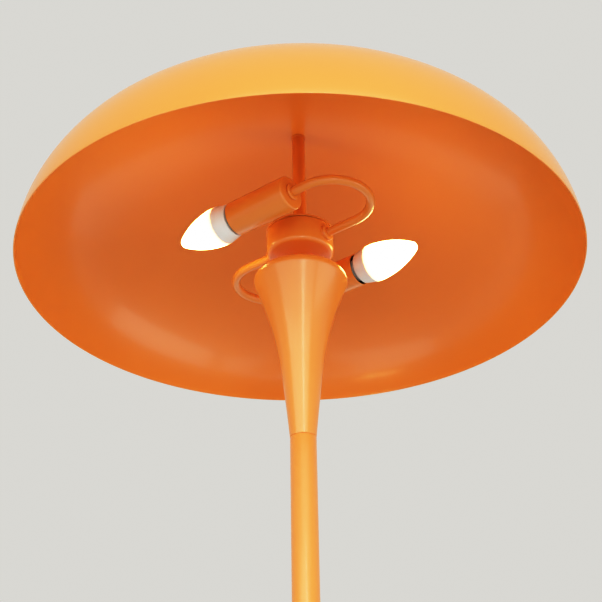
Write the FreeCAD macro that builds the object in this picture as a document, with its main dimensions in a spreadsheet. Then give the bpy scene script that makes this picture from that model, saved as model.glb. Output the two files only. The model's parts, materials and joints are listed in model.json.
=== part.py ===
import FreeCAD, Part
import math
import os
import re
import Sketcher

# A mushroom floor lamp with a spun dome shade, a trumpet neck on a slim stem, two looped arms with
# candle bulbs, and a round weighted base. Millimetres, +Z up, origin on the floor under the stem.
# A person facing the lamp looks along +Y; the left bulb lies on their left.

# Driving dimensions. Each is written once, here.
SIZES = {
    # base
    "pad_thickness": 2.0,
    "pad_inset": 4.0,
    "weight_gap": 2.8,
    "weight_thickness": 11.0,
    "weight_chamfer": 1.5,
    "boss_inset": 1.0,
    "pocket_margin": 2.0,
    "weight_pocket_depth": 8.0,
    "cord_channel_width": 8.0,
    "base_radius": 145.0,
    "base_wall": 1.2,
    "base_lift": 1.0,
    "base_side_height": 12.0,
    "base_edge_radius": 6.0,
    "base_height": 24.0,
    "base_land_margin": 1.5,
    "grommet_bore_radius": 3.2,
    "grommet_neck_radius": 4.4,
    "grommet_flange_radius": 5.4,
    "grommet_flange_thickness": 1.6,
    "foot_collar_flange": 5.5,
    "foot_collar_top_wall": 1.6,
    "foot_collar_lip": 2.5,
    "foot_collar_height": 12.0,
    "foot_collar_sweep": 14.0,
    # threaded tube, nuts and washers
    "rod_radius": 5.0,
    "rod_bore_radius": 3.5,
    "nut_across": 15.0,
    "nut_height": 4.0,
    "washer_radius": 12.0,
    "washer_thickness": 1.5,
    "stud_spare": 1.0,
    "stud_reach": 18.0,
    # stem
    "stem_radius": 11.0,
    "stem_wall": 1.5,
    "lower_tube_length": 574.0,
    "upper_tube_length": 574.0,
    "insert_length": 22.0,
    "coupler_plug_length": 25.0,
    "coupler_stud_length": 16.0,
    # trumpet
    "trumpet_length": 156.5,
    "trumpet_radius": 41.4,
    "trumpet_wall": 1.4,
    "trumpet_shoulder_radius": 6.5,
    "trumpet_top_lean": 23.0,
    "trumpet_mid_lean": 7.2,
    "trumpet_foot_lean": 5.7,
    # neck and hub
    "neck_radius": 6.0,
    "neck_length": 20.4,
    "hub_radius": 30.0,
    "hub_height": 23.8,
    "hub_wall": 2.0,
    "hub_edge_radius": 4.0,
    "lid_gap": 0.6,
    "lid_thickness": 1.7,
    "lid_overhang": 0.6,
    "lid_edge_radius": 0.6,
    "lid_spigot_depth": 3.0,
    "lid_spigot_wall": 1.6,
    "wire_slot_width": 4.5,
    "wire_slot_height": 9.0,
    "block_length": 17.0,
    "block_width": 12.0,
    "block_height": 16.0,
    "block_gap": 1.3,
    "block_screw_radius": 1.9,
    "block_screw_pitch": 8.0,
    "block_screw_depth": 6.0,
    # arms
    "arm_turn": 38.0,
    "arm_height": 12.7,
    "arm_radius": 4.0,
    "arm_wall": 1.0,
    "arm_leg": 61.0,
    "arm_bend_radius": 34.05,
    "arm_seat_gap": 0.5,
    "ferrule_radius": 7.3,
    "ferrule_height": 2.6,
    "ferrule_edge_radius": 0.8,
    "arm_nut_radius": 7.0,
    "arm_nut_height": 3.0,
    "arm_nut_spare": 1.0,
    "lead_radius": 1.6,
    "lead_bend_radius": 6.0,
    "lead_straight": 1.5,
    # lampholders, measured from the holder's closed back
    "holder_back": 44.7,
    "holder_length": 61.3,
    "holder_radius": 15.25,
    "holder_wall": 1.0,
    "holder_back_wall": 1.5,
    "holder_edge_radius": 2.0,
    "socket_boss_radius": 7.0,
    "socket_boss_length": 10.5,
    "socket_chamfer": 1.0,
    "socket_arm_depth": 13.7,
    "skirt_wall": 1.3,
    "skirt_set_back": 0.6,
    "mouth_clearance": 2.0,
    "screw_gap": 0.2,
    "shell_wall": 0.45,
    "shell_lead": 0.5,
    "shell_flange_gap": 2.0,
    "spring_radius": 2.5,
    "spring_height": 2.4,
    # bulbs, on the same axis
    "bulb_reach": 64.0,
    "bulb_length": 100.0,
    "bulb_radius": 17.5,
    "bulb_tip_radius": 5.5,
    "bulb_wall": 1.2,
    "bulb_glow_length": 48.4,
    "collar_length": 32.9,
    "collar_foot_radius": 9.0,
    "collar_neck_radius": 10.8,
    "collar_shoulder_radius": 14.6,
    "collar_shoulder_edge": 1.0,
    "collar_flare_length": 13.1,
    "cap_radius": 6.95,
    "cap_flange_inset": 0.6,
    "cap_flange_thickness": 1.0,
    "cap_length": 15.0,
    "insulator_length": 2.5,
    "insulator_radius": 5.6,
    "insulator_tip_radius": 3.4,
    "contact_radius": 2.4,
    "contact_chamfer": 0.6,
    "board_margin": 3.3,
    "board_thickness": 1.2,
    # shade and the tube that carries it
    "rod_sleeve_length": 106.5,
    "seat_ring_lip": 0.7,
    "seat_ring_thickness": 1.5,
    "shade_radius": 250.0,
    "shade_height": 157.5,
    "shade_wall": 1.0,
    "shade_side_radius": 125.0,
    "shade_rim_lean": 3.7,
    "shade_land_margin": 1.5,
    "finial_washer_radius": 11.0,
    "finial_washer_thickness": 1.2,
    "finial_radius": 8.5,
    "finial_side_height": 9.5,
    "finial_dome_height": 5.0,
    "finial_grip": 8.0,
    "finial_thread_spare": 2.0,
    "finial_edge_radius": 0.8,
    # clearances, and how far a cutting bar runs past a wall
    "fit_gap": 0.1,
    "loose_gap": 0.25,
    "rest_gap": 0.3,
    "hole_overrun": 1.0,
}

# Radii, levels and arc centres worked out from the driving dimensions.
WORKED = {
    "weight_radius": "base_radius - base_wall - weight_gap",
    "pad_radius": "weight_radius - pad_inset",
    "weight_pocket_radius": "washer_radius + pocket_margin",
    "pad_hole_radius": "weight_pocket_radius + pocket_margin",
    "foot_collar_radius": "stem_radius + foot_collar_flange",
    "foot_collar_top_radius": "stem_radius + foot_collar_top_wall",
    "base_land_radius": "foot_collar_radius + base_land_margin",
    "weight_boss_radius": "base_land_radius - boss_inset",
    "base_side_centre": "base_radius - base_edge_radius",
    "base_crown_radius": "(base_side_centre^2 + (base_height - base_side_height)^2 - base_edge_radius^2)"
    " / (2 * (base_height - base_side_height - base_edge_radius))",
    "base_meet_cos": "base_side_centre / (base_crown_radius - base_edge_radius)",
    "base_meet_sin": "sqrt(1 - base_meet_cos^2)",
    "base_crown_centre": "base_height - base_crown_radius",
    "stem_foot": "base_crown_centre + sqrt(base_crown_radius^2 - base_land_radius^2)",
    "boss_top": "stem_foot - base_wall",
    "pocket_top": "pad_thickness + weight_pocket_depth",
    "base_nut_bottom": "pocket_top - washer_thickness - nut_height",
    "cord_level": "pad_thickness + weight_pocket_depth / 2",
    "rod_hole": "rod_radius + fit_gap",
    "rod_clear_hole": "rod_radius + loose_gap",
    "stem_plug_radius": "stem_radius - stem_wall - fit_gap",
    "stem_joint": "stem_foot + lower_tube_length",
    "stem_top": "stem_joint + upper_tube_length",
    "trumpet_top": "stem_top + trumpet_length",
    "shoulder_centre": "trumpet_radius - trumpet_shoulder_radius",
    "shoulder_level": "trumpet_length - trumpet_shoulder_radius",
    "shoulder_end_radius": "shoulder_centre + trumpet_shoulder_radius * cos(trumpet_top_lean)",
    "shoulder_end_level": "shoulder_level - trumpet_shoulder_radius * sin(trumpet_top_lean)",
    "flare_drop_a": "cos(trumpet_mid_lean) - cos(trumpet_top_lean)",
    "flare_drop_b": "cos(trumpet_foot_lean) - cos(trumpet_mid_lean)",
    "flare_rise_a": "sin(trumpet_top_lean) - sin(trumpet_mid_lean)",
    "flare_rise_b": "sin(trumpet_mid_lean) - sin(trumpet_foot_lean)",
    "flare_spread": "shoulder_end_radius - stem_radius",
    "flare_scale": "flare_drop_a * flare_rise_b - flare_drop_b * flare_rise_a",
    "upper_flare_radius": "(flare_spread * flare_rise_b - flare_drop_b * shoulder_end_level) / flare_scale",
    "lower_flare_radius": "(flare_drop_a * shoulder_end_level - flare_rise_a * flare_spread) / flare_scale",
    "flare_meet_radius": "shoulder_end_radius - upper_flare_radius * flare_drop_a",
    "flare_meet_level": "shoulder_end_level - upper_flare_radius * flare_rise_a",
    "rod_bottom": "trumpet_top - trumpet_wall - washer_thickness - 2 * nut_height",
    "hub_bottom": "trumpet_top + neck_length",
    "hub_floor": "hub_bottom + hub_wall",
    "hub_bore": "hub_radius - hub_wall",
    "hub_rim": "hub_bottom + hub_height",
    "lid_bottom": "hub_rim + lid_gap",
    "lid_top": "lid_bottom + lid_thickness",
    "lid_radius": "hub_radius + lid_overhang",
    "block_offset": "nut_across / sqrt(3) + block_gap + block_width / 2",
    "arm_level": "hub_bottom + arm_height",
    "arm_hole": "arm_radius + fit_gap",
    "arm_bore": "arm_radius - arm_wall",
    "arm_spread": "2 * arm_bend_radius",
    "arm_nut_face": "sqrt(hub_bore^2 - arm_nut_radius^2) - fit_gap",
    "arm_inner_end": "arm_nut_face - arm_nut_height - arm_nut_spare",
    "arm_return_end": "holder_back - holder_back_wall - socket_arm_depth + arm_seat_gap",
    "holder_x": "holder_back * cos(arm_turn) - arm_spread * sin(arm_turn)",
    "holder_y": "holder_back * sin(arm_turn) + arm_spread * cos(arm_turn)",
    "holder_bore": "holder_radius - holder_wall",
    "socket_radius": "holder_bore - rest_gap",
    "bulb_tip": "holder_length + bulb_reach",
    "bulb_tip_centre": "bulb_tip - bulb_tip_radius",
    "glow_start": "bulb_tip - bulb_glow_length",
    "glow_side_radius": "((bulb_tip_centre - glow_start)^2 + bulb_radius^2 - bulb_tip_radius^2)"
    " / (2 * (bulb_radius - bulb_tip_radius))",
    "glow_cos": "(bulb_tip_centre - glow_start) / (glow_side_radius - bulb_tip_radius)",
    "glow_sin": "(glow_side_radius - bulb_radius) / (glow_side_radius - bulb_tip_radius)",
    "collar_start": "glow_start - collar_length",
    "collar_shoulder": "glow_start - collar_flare_length",
    "cap_start": "collar_start - cap_length",
    "insulator_start": "cap_start - insulator_length",
    "contact_end": "bulb_tip - bulb_length",
    "board_radius": "bulb_radius - bulb_wall - board_margin",
    "cap_flange_radius": "collar_foot_radius - cap_flange_inset",
    "shell_bore_radius": "cap_radius + screw_gap",
    "shell_start": "insulator_start - shell_lead",
    "shell_end": "collar_start - cap_flange_thickness - shell_flange_gap",
    "socket_floor": "contact_end - rest_gap - spring_height",
    "socket_front": "holder_length - skirt_set_back",
    "socket_mouth_radius": "socket_radius - skirt_wall",
    "socket_mouth_floor": "collar_start - mouth_clearance",
    "seat_ring_radius": "neck_radius + seat_ring_lip",
    "sleeve_top": "lid_top + rod_sleeve_length",
    "shade_seat": "sleeve_top + seat_ring_thickness",
    "shade_side_centre": "shade_radius - shade_side_radius * cos(shade_rim_lean)",
    "shade_side_drop": "shade_side_radius * sin(shade_rim_lean)",
    "shade_crown_radius": "(shade_side_centre^2 + (shade_height + shade_side_drop)^2 - shade_side_radius^2)"
    " / (2 * (shade_height + shade_side_drop - shade_side_radius))",
    "shade_meet_cos": "shade_side_centre / (shade_crown_radius - shade_side_radius)",
    "shade_meet_sin": "sqrt(1 - shade_meet_cos^2)",
    "shade_land_radius": "finial_washer_radius + shade_land_margin",
    "shade_land": "shade_height - shade_crown_radius + sqrt(shade_crown_radius^2 - shade_land_radius^2)",
    "shade_rim": "shade_seat + shade_wall - shade_land",
    "shade_top": "shade_seat + shade_wall",
    "finial_seat": "shade_top + finial_washer_thickness",
    "rod_top": "finial_seat + finial_grip",
    "finial_thread_depth": "finial_grip + finial_thread_spare",
}

doc = FreeCAD.newDocument("MushroomFloorLamp")
nodes = {}


def qualified(formula):
    """The same formula with each size named in the sheet that holds it."""

    def name_in_sheet(word):
        if word[0] in SIZES:
            return "Sizes." + word[0]
        if word[0] in WORKED:
            return "Worked." + word[0]
        return word[0]

    return re.sub(r"[a-z]\w*", name_in_sheet, formula)


def make_sheet(title, rows, as_cell):
    sheet = doc.addObject("Spreadsheet::Sheet", title)
    for row, (name, content) in enumerate(rows.items(), start=1):
        sheet.set(f"A{row}", name)
        sheet.set(f"B{row}", as_cell(content))
        sheet.setAlias(f"B{row}", name)
    doc.recompute()
    return sheet


sizes = make_sheet("Sizes", SIZES, str)
worked = make_sheet("Worked", WORKED, lambda formula: "=" + qualified(formula))


def value(formula):
    """The number that a formula of sizes gives now."""
    return float(sizes.evalExpression(qualified(formula)))


def bind(thing, **formulas):
    """Ties properties of an object to formulas; two underscores in a name stand for a dot."""
    for name, formula in formulas.items():
        thing.setExpression(name.replace("__", "."), qualified(formula))
    return thing


def lift(thing, level):
    return bind(thing, Placement__Base__z=level)


def node(label, thing):
    """Keeps a finished sub-part under the name of its file."""
    thing.Label = label
    nodes[label] = thing
    return thing


# ---- sketches ----


def origin_feature(body, role):
    return next(f for f in body.Origin.OriginFeatures if f.Role == role)


def minor_arc(start, end, radius, side):
    """An arc from start to end that swells to the right of that run (side 1) or the left (side -1)."""
    run = end - start
    half = run.Length / 2
    normal = FreeCAD.Vector(run.y, -run.x, 0).normalize() * side
    centre = (start + end) / 2 - normal * math.sqrt(max(radius**2 - half**2, 0))
    first, last = [math.atan2(p.y - centre.y, p.x - centre.x) for p in (start, end)]
    circle = Part.Circle(centre, FreeCAD.Vector(0, 0, 1), radius)
    if side > 0:
        return Part.ArcOfCircle(circle, first, last if last > first else last + 2 * math.pi), (1, 2)
    return Part.ArcOfCircle(circle, last, first if first > last else first + 2 * math.pi), (2, 1)


def pin_point(sketch, geometry, point, across, up):
    """Holds one point of a sketch at two formulas, measured from the sketch's origin."""
    for kind, formula, axis in (("DistanceX", across, -2), ("DistanceY", up, -1)):
        if formula == "0":
            sketch.addConstraint(Sketcher.Constraint("PointOnObject", geometry, point, axis))
            continue
        held = Sketcher.Constraint(kind, -1, 1, geometry, point, value(formula))
        index = sketch.addConstraint(held)
        sketch.setExpression(f"Constraints[{index}]", qualified(formula))


def draw_outline(sketch, corners):
    """A closed outline. Each corner is (across, up), or (across, up, radius, side) where an arc follows."""
    places = [FreeCAD.Vector(value(c[0]), value(c[1]), 0) for c in corners]
    ends = []
    for i, corner in enumerate(corners):
        start, end = places[i], places[(i + 1) % len(corners)]
        if len(corner) == 2:
            ends.append((sketch.addGeometry(Part.LineSegment(start, end)), (1, 2)))
        else:
            arc, order = minor_arc(start, end, value(corner[2]), corner[3])
            ends.append((sketch.addGeometry(arc), order))
    for i, (geometry, order) in enumerate(ends):
        following, next_order = ends[(i + 1) % len(ends)]
        joined = Sketcher.Constraint("Coincident", geometry, order[1], following, next_order[0])
        sketch.addConstraint(joined)
    for corner, (geometry, order) in zip(corners, ends):
        pin_point(sketch, geometry, order[0], corner[0], corner[1])
        if len(corner) > 2:
            index = sketch.addConstraint(Sketcher.Constraint("Radius", geometry, value(corner[2])))
            sketch.setExpression(f"Constraints[{index}]", qualified(corner[2]))


def new_sketch(body, plane):
    sketch = body.newObject("Sketcher::SketchObject", body.Name + "Sketch")
    sketch.AttachmentSupport = [(origin_feature(body, plane), "")]
    sketch.MapMode = "FlatFace"
    return sketch


def turned(name, corners, level="0"):
    """A turned piece about the lamp's own axis; corners are (radius, height above level)."""
    body = doc.addObject("PartDesign::Body", name)
    sketch = new_sketch(body, "XZ_Plane")
    draw_outline(sketch, corners)
    turn = body.newObject("PartDesign::Revolution", name + "Turn")
    turn.Profile = sketch
    turn.ReferenceAxis = (sketch, ["V_Axis"])
    turn.Angle = 360
    sketch.Visibility = False
    return lift(body, level)


# ---- the two units of arm, lampholder and bulb ----

# side is 1 for the unit whose bulb points left, -1 for its copy half a turn round the stem
UNITS = (("left", 1), ("right", -1))


def aim_arm(thing, side):
    """Puts a piece drawn along +X on the line by which this unit's arm leaves the hub."""
    thing.Placement.Rotation = FreeCAD.Rotation(FreeCAD.Vector(0, 0, 1), 90)
    heading = "-arm_turn" if side > 0 else "180 - arm_turn"
    return bind(thing, Placement__Base__z="arm_level", Placement__Rotation__Angle=heading)


def aim_holder(thing, side):
    """Puts a piece drawn along +X on this unit's lampholder axis, from the holder's back to the bulb."""
    thing.Placement.Rotation = FreeCAD.Rotation(FreeCAD.Vector(0, 0, 1), 90)
    heading = "180 - arm_turn" if side > 0 else "-arm_turn"
    return bind(
        thing,
        Placement__Base__x=f"{side} * holder_x",
        Placement__Base__y=f"{-side} * holder_y",
        Placement__Base__z="arm_level",
        Placement__Rotation__Angle=heading,
    )


def lying(name, corners):
    """A turned piece about the local X axis; corners are (distance along X, radius)."""
    body = doc.addObject("PartDesign::Body", name)
    sketch = new_sketch(body, "XY_Plane")
    draw_outline(sketch, corners)
    turn = body.newObject("PartDesign::Revolution", name + "Turn")
    turn.Profile = sketch
    turn.ReferenceAxis = (sketch, ["H_Axis"])
    turn.Angle = 360
    sketch.Visibility = False
    return body


# ---- simple solids ----


def round_bar(name, radius, length):
    return bind(doc.addObject("Part::Cylinder", name), Radius=radius, Height=length)


def cylinder(name, radius, height, level="0"):
    return lift(round_bar(name, radius, height), level)


def cut(name, base, tool):
    result = doc.addObject("Part::Cut", name)
    result.Base, result.Tool = base, tool
    return result


def tube(name, outer, inner, length, level):
    """A plain tube or ring on the lamp's axis."""
    shell = cut(name, cylinder(name + "Outer", outer, length), cylinder(name + "Bore", inner, length))
    return lift(shell, level)


def hex_nut(name, level):
    blank = bind(doc.addObject("Part::Prism", name + "Blank"), Height="nut_height")
    blank.Polygon = 6
    bind(blank, Circumradius="nut_across / sqrt(3)")
    return lift(cut(name, blank, cylinder(name + "Bore", "rod_hole", "nut_height")), level)


# ---- base ----


def build_base():
    node("base_pad", tube("BasePad", "pad_radius", "pad_hole_radius", "pad_thickness", "0"))

    casting = turned(
        "WeightCasting",
        [
            ("rod_hole", "weight_pocket_depth"),
            ("weight_pocket_radius", "weight_pocket_depth"),
            ("weight_pocket_radius", "0"),
            ("weight_radius - weight_chamfer", "0"),
            ("weight_radius", "weight_chamfer"),
            ("weight_radius", "weight_thickness - weight_chamfer"),
            ("weight_radius - weight_chamfer", "weight_thickness"),
            ("weight_boss_radius", "weight_thickness"),
            ("weight_boss_radius", "boss_top - pad_thickness"),
            ("rod_hole", "boss_top - pad_thickness"),
        ],
        "pad_thickness",
    )
    channel = doc.addObject("Part::Box", "CordChannel")
    bind(
        channel,
        Length="cord_channel_width",
        Width="weight_radius",
        Height="weight_pocket_depth",
        Placement__Base__x="-cord_channel_width / 2",
        Placement__Base__z="pad_thickness",
    )
    node("base_weight", cut("BaseWeight", casting, channel))

    cover_shell = turned(
        "CoverShell",
        [
            ("rod_hole", "stem_foot"),
            ("rod_hole", "boss_top"),
            ("base_land_radius", "boss_top", "base_crown_radius - base_wall", -1),
            (
                "base_side_centre + (base_edge_radius - base_wall) * base_meet_cos",
                "base_side_height + (base_edge_radius - base_wall) * base_meet_sin",
                "base_edge_radius - base_wall",
                -1,
            ),
            ("base_radius - base_wall", "base_side_height"),
            ("base_radius - base_wall", "base_lift"),
            ("base_radius", "base_lift"),
            ("base_radius", "base_side_height", "base_edge_radius", 1),
            (
                "base_side_centre + base_edge_radius * base_meet_cos",
                "base_side_height + base_edge_radius * base_meet_sin",
                "base_crown_radius",
                1,
            ),
            ("base_land_radius", "stem_foot"),
        ],
    )
    inlet = round_bar("CordInlet", "grommet_neck_radius + fit_gap", "base_wall + 2 * hole_overrun")
    inlet.Placement.Rotation = FreeCAD.Rotation(FreeCAD.Vector(-1, 0, 0), 90)
    bind(inlet, Placement__Base__y="base_radius - base_wall - hole_overrun", Placement__Base__z="cord_level")
    node("base_cover", cut("BaseCover", cover_shell, inlet))

    inner_face = "base_radius - base_wall - loose_gap"
    outer_face = "base_radius + fit_gap"
    grommet = lying(
        "CordGrommet",
        [
            (inner_face + " - grommet_flange_thickness", "grommet_bore_radius"),
            (outer_face + " + grommet_flange_thickness", "grommet_bore_radius"),
            (outer_face + " + grommet_flange_thickness", "grommet_flange_radius"),
            (outer_face, "grommet_flange_radius"),
            (outer_face, "grommet_neck_radius"),
            (inner_face, "grommet_neck_radius"),
            (inner_face, "grommet_flange_radius"),
            (inner_face + " - grommet_flange_thickness", "grommet_flange_radius"),
        ],
    )
    grommet.Placement.Rotation = FreeCAD.Rotation(FreeCAD.Vector(0, 0, 1), 90)
    node("cord_grommet", lift(grommet, "cord_level"))

    node("base_washer", tube("BaseWasher", "washer_radius", "rod_hole", "washer_thickness",
                             "pocket_top - washer_thickness"))
    node("base_nut", hex_nut("BaseNut", "base_nut_bottom"))
    stud_length = "stem_foot + stud_reach - base_nut_bottom + stud_spare"
    node("base_stud", tube("BaseStud", "rod_radius", "rod_bore_radius", stud_length,
                           "base_nut_bottom - stud_spare"))
    node(
        "foot_collar",
        turned(
            "FootCollar",
            [
                ("stem_radius + fit_gap", "0"),
                ("foot_collar_radius", "0"),
                ("foot_collar_radius", "foot_collar_lip", "foot_collar_sweep", 1),
                ("foot_collar_top_radius", "foot_collar_height"),
                ("stem_radius + fit_gap", "foot_collar_height"),
            ],
            "stem_foot",
        ),
    )


# ---- stem ----


def insert(label, name, level):
    node(label, tube(name, "stem_plug_radius", "rod_hole", "insert_length", level))


def coupler(label, name, joint_level):
    """A plug in the end of the tube below a joint, with the threaded stud for the piece above."""
    corners = [
        ("rod_bore_radius", "0"),
        ("stem_plug_radius", "0"),
        ("stem_plug_radius", "coupler_plug_length"),
        ("rod_radius", "coupler_plug_length"),
        ("rod_radius", "coupler_plug_length + coupler_stud_length"),
        ("rod_bore_radius", "coupler_plug_length + coupler_stud_length"),
    ]
    node(label, turned(name, corners, joint_level + " - coupler_plug_length"))


def build_stem():
    bore = "stem_radius - stem_wall"
    node("stem_lower_tube", tube("LowerTube", "stem_radius", bore, "lower_tube_length", "stem_foot"))
    node("stem_upper_tube", tube("UpperTube", "stem_radius", bore, "upper_tube_length", "stem_joint"))
    insert("stem_foot_insert", "FootInsert", "stem_foot")
    insert("stem_middle_insert", "MiddleInsert", "stem_joint")
    insert("trumpet_insert", "TrumpetInsert", "stem_top")
    coupler("stem_middle_coupler", "MiddleCoupler", "stem_joint")
    coupler("stem_top_coupler", "TopCoupler", "stem_top")


# ---- trumpet, neck and hub ----


def build_trumpet():
    inner_shoulder = "trumpet_shoulder_radius - trumpet_wall"
    node(
        "trumpet",
        turned(
            "Trumpet",
            [
                ("rod_hole", "trumpet_length"),
                ("rod_hole", "trumpet_length - trumpet_wall"),
                ("shoulder_centre", "trumpet_length - trumpet_wall", inner_shoulder, -1),
                (
                    f"shoulder_centre + ({inner_shoulder}) * cos(trumpet_top_lean)",
                    f"shoulder_level - ({inner_shoulder}) * sin(trumpet_top_lean)",
                    "upper_flare_radius + trumpet_wall",
                    1,
                ),
                (
                    "flare_meet_radius - trumpet_wall * cos(trumpet_mid_lean)",
                    "flare_meet_level + trumpet_wall * sin(trumpet_mid_lean)",
                    "lower_flare_radius + trumpet_wall",
                    1,
                ),
                ("stem_radius - trumpet_wall", "0"),
                ("stem_radius", "0", "lower_flare_radius", -1),
                ("flare_meet_radius", "flare_meet_level", "upper_flare_radius", -1),
                ("shoulder_end_radius", "shoulder_end_level", "trumpet_shoulder_radius", 1),
                ("shoulder_centre", "trumpet_length"),
            ],
            "stem_top",
        ),
    )
    level = "trumpet_top - trumpet_wall - washer_thickness"
    node("trumpet_washer", tube("TrumpetWasher", "washer_radius", "rod_hole", "washer_thickness", level))
    node("neck_sleeve", tube("NeckSleeve", "neck_radius", "rod_hole", "neck_length", "trumpet_top"))


def build_hub():
    cup = turned(
        "HubCup",
        [
            ("rod_hole", "0"),
            ("hub_radius - hub_edge_radius", "0", "hub_edge_radius", 1),
            ("hub_radius", "hub_edge_radius"),
            ("hub_radius", "hub_height"),
            ("hub_bore", "hub_height"),
            ("hub_bore", "hub_edge_radius", "hub_edge_radius - hub_wall", -1),
            ("hub_radius - hub_edge_radius", "hub_wall"),
            ("rod_hole", "hub_wall"),
        ],
        "hub_bottom",
    )
    reach = "(hub_radius + hole_overrun)"
    arm_holes = round_bar("ArmHoles", "arm_hole", "2 * " + reach)
    arm_holes.setExpression(
        "Placement",
        qualified(
            f"placement(vector(-{reach} * cos(arm_turn); {reach} * sin(arm_turn); arm_level);"
            " rotation(-arm_turn; 90; 0))"
        ),
    )
    node("hub_body", cut("HubBody", cup, arm_holes))
    node(
        "hub_lid",
        turned(
            "HubLid",
            [
                ("rod_hole", "lid_spigot_depth"),
                ("hub_bore - fit_gap - lid_spigot_wall", "lid_spigot_depth"),
                ("hub_bore - fit_gap - lid_spigot_wall", "0"),
                ("hub_bore - fit_gap", "0"),
                ("hub_bore - fit_gap", "lid_spigot_depth"),
                ("lid_radius", "lid_spigot_depth"),
                ("lid_radius", "lid_spigot_depth + lid_thickness - lid_edge_radius", "lid_edge_radius", 1),
                ("lid_radius - lid_edge_radius", "lid_spigot_depth + lid_thickness"),
                ("rod_hole", "lid_spigot_depth + lid_thickness"),
            ],
            "lid_bottom - lid_spigot_depth",
        ),
    )

    locknuts = doc.addObject("Part::Compound", "RodLocknuts")
    locknuts.Links = [
        hex_nut("TrumpetNut", "trumpet_top - trumpet_wall - washer_thickness - nut_height"),
        hex_nut("HubNut", "hub_floor"),
        hex_nut("LidNut", "lid_bottom - nut_height"),
    ]
    node("rod_locknuts", locknuts)

    rod = tube("RodTube", "rod_radius", "rod_bore_radius", "rod_top - rod_bottom", "rod_bottom")
    slot = doc.addObject("Part::Box", "WireSlot")
    bind(
        slot,
        Length="wire_slot_width",
        Width="rod_radius + hole_overrun",
        Height="wire_slot_height",
        Placement__Base__x="-wire_slot_width / 2",
        Placement__Base__z="arm_level - wire_slot_height / 2",
    )
    node("centre_rod", cut("CentreRod", rod, slot))

    block = doc.addObject("Part::Box", "BlockBlank")
    bind(block, Length="block_length", Width="block_width", Height="block_height")
    well_floor = "block_height - block_screw_depth"
    wells = doc.addObject("Part::MultiFuse", "ScrewWells")
    wells.Shapes = [
        bind(
            cylinder(f"ScrewWell{i}", "block_screw_radius", "block_screw_depth", well_floor),
            Placement__Base__x=f"block_length / 2 + {offset} * block_screw_pitch",
            Placement__Base__y="block_width / 2",
        )
        for i, offset in enumerate((-0.5, 0.5))
    ]
    terminal = cut("TerminalBlock", block, wells)
    across, along = "block_length / 2", "(block_offset - block_width / 2)"
    terminal.setExpression(
        "Placement",
        qualified(
            f"placement(vector(-{across} * cos(arm_turn) + {along} * sin(arm_turn);"
            f" {across} * sin(arm_turn) + {along} * cos(arm_turn); hub_floor); rotation(-arm_turn; 0; 0))"
        ),
    )
    node("terminal_block", terminal)


# ---- arms ----


def arm_pipe(name, side):
    """A tube bent into a flat U: out of the hub, round half a turn, and back to the lampholder."""
    body = doc.addObject("PartDesign::Body", name)
    path = new_sketch(body, "XY_Plane")
    start, leg, back, spread = [
        value(f) for f in ("arm_inner_end", "arm_leg", "arm_return_end", "arm_spread")
    ]
    corners = [(start, 0), (leg, 0), (leg, -spread), (back, -spread)]
    points = [FreeCAD.Vector(x, y, 0) for x, y in corners]
    out = path.addGeometry(Part.LineSegment(points[0], points[1]))
    bend, order = minor_arc(points[1], points[2], spread / 2, -1)
    bend = path.addGeometry(bend)
    home = path.addGeometry(Part.LineSegment(points[2], points[3]))
    path.addConstraint(Sketcher.Constraint("Tangent", out, 2, bend, order[0]))
    path.addConstraint(Sketcher.Constraint("Tangent", bend, order[1], home, 1))
    path.addConstraint(Sketcher.Constraint("Horizontal", home))
    pin_point(path, out, 1, "arm_inner_end", "0")
    pin_point(path, out, 2, "arm_leg", "0")
    index = path.addConstraint(Sketcher.Constraint("Radius", bend, spread / 2))
    path.setExpression(f"Constraints[{index}]", qualified("arm_bend_radius"))
    index = path.addConstraint(Sketcher.Constraint("DistanceX", -1, 1, home, 2, back))
    path.setExpression(f"Constraints[{index}]", qualified("arm_return_end"))

    section = new_sketch(body, "YZ_Plane")
    section.setExpression("AttachmentOffset.Base.z", qualified("arm_inner_end"))
    for formula in ("arm_radius", "arm_bore"):
        ring = Part.Circle(FreeCAD.Vector(0, 0, 0), FreeCAD.Vector(0, 0, 1), value(formula))
        circle = section.addGeometry(ring)
        section.addConstraint(Sketcher.Constraint("Coincident", circle, 3, -1, 1))
        index = section.addConstraint(Sketcher.Constraint("Radius", circle, value(formula)))
        section.setExpression(f"Constraints[{index}]", qualified(formula))
    doc.recompute()
    pipe = body.newObject("PartDesign::AdditivePipe", name + "Pipe")
    pipe.Profile = section
    pipe.Spine = path
    path.Visibility = section.Visibility = False
    return aim_arm(body, side)


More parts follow.
